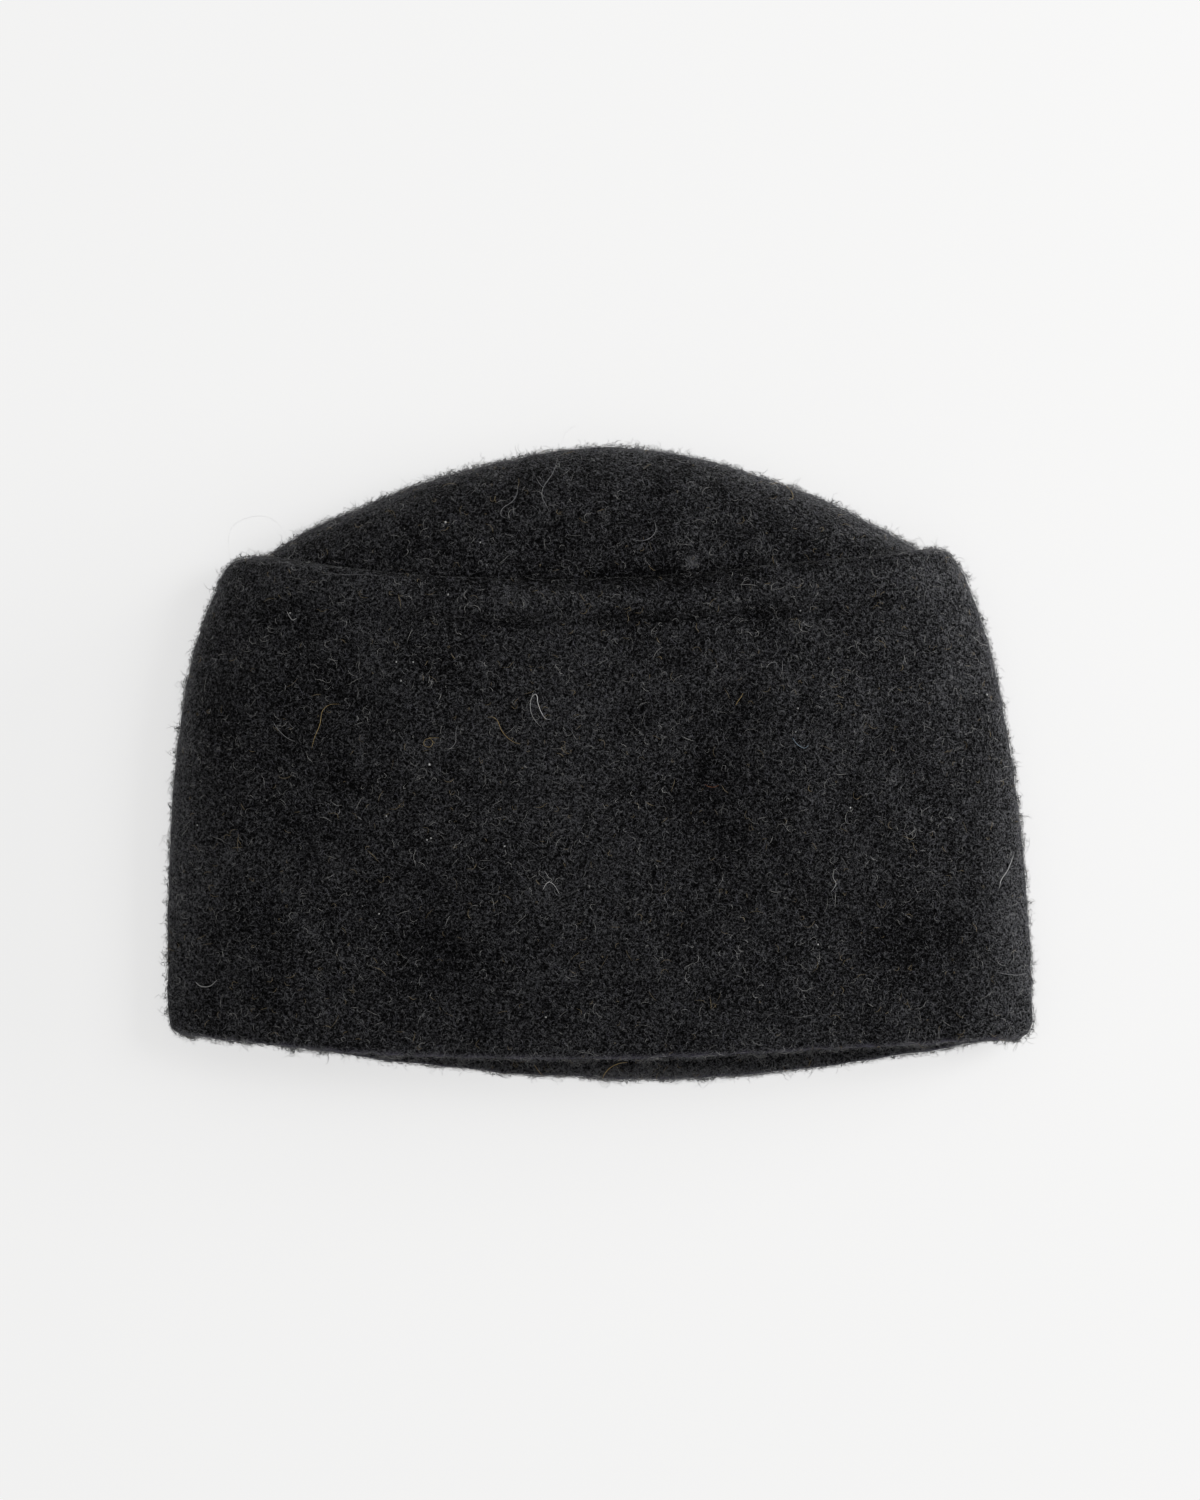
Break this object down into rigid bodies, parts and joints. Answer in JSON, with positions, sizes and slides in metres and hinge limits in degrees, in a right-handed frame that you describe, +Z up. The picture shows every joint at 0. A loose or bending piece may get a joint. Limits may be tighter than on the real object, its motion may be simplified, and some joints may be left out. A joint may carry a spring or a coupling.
{
  "type": "felted wool hat laid flat",
  "caption": "Brimless felted wool hat: a tall, gently flared side band with a domed tip sewn inside its ridged top edge, laid flat on its back wall.",
  "frame": {"origin": "on the surface that the hat lies on, under the middle of its bounding box", "axes": "+X runs across the flattened hat, +Y from the hem to the tip, and +Z up through both walls"},
  "size_m": [0.2855, 0.2085, 0.0311],
  "materials": {
    "felt": "matte charcoal black felted wool with a short, loose nap"
  },
  "bodies": {
    "root": {"side_band": "felt", "crown_tip": "felt"}
  },
  "joints": []
}
